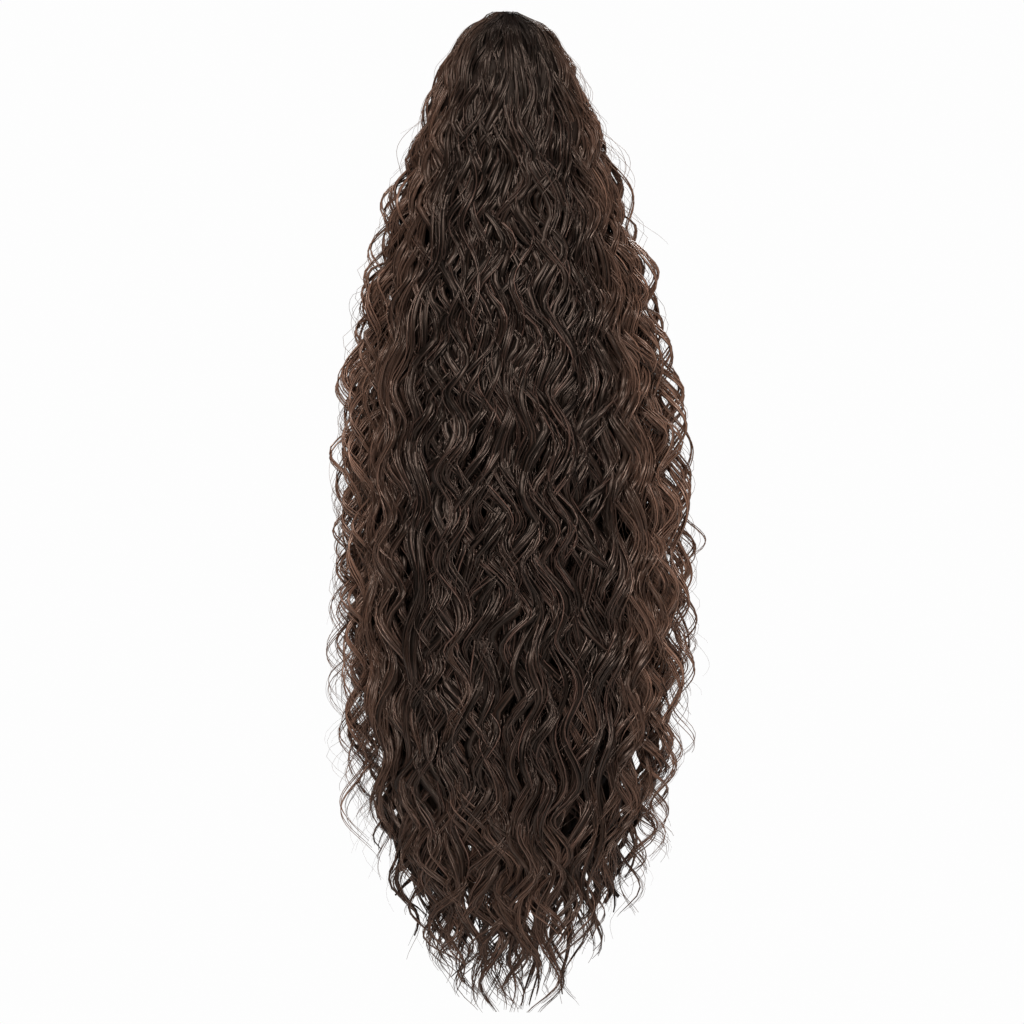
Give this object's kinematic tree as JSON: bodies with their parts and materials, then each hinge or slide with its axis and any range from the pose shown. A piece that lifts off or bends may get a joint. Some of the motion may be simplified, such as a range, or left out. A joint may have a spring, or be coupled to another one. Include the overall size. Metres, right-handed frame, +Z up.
{
  "type": "ponytail hairpiece",
  "caption": "Long dense curly ponytail hairpiece: wavy locks sewn over a small oval dome with a bound open mouth and a holding comb inside.",
  "frame": {"origin": "centre of the base dome's open mouth, in the plane of the binding's rear face", "axes": "+Z up along the hanging tail, +Y out of the mouth towards the wearer's head, +X to the right as the picture shows the piece from its outer side"},
  "size_m": [0.2745, 0.1302, 0.7637],
  "materials": {
    "hair_fibre": "dark brown curled hair fibre, satin gloss along the waves",
    "dome_cloth": "black-brown knitted cloth, matt",
    "binding_elastic": "black ribbed elastic binding, matt",
    "comb_plastic": "black-brown moulded comb, soft gloss"
  },
  "bodies": {
    "root": {"base_dome": "dome_cloth", "mouth_binding": "binding_elastic", "holding_comb": "comb_plastic", "crown_hair": "hair_fibre", "tail_hair": "hair_fibre"}
  },
  "joints": []
}
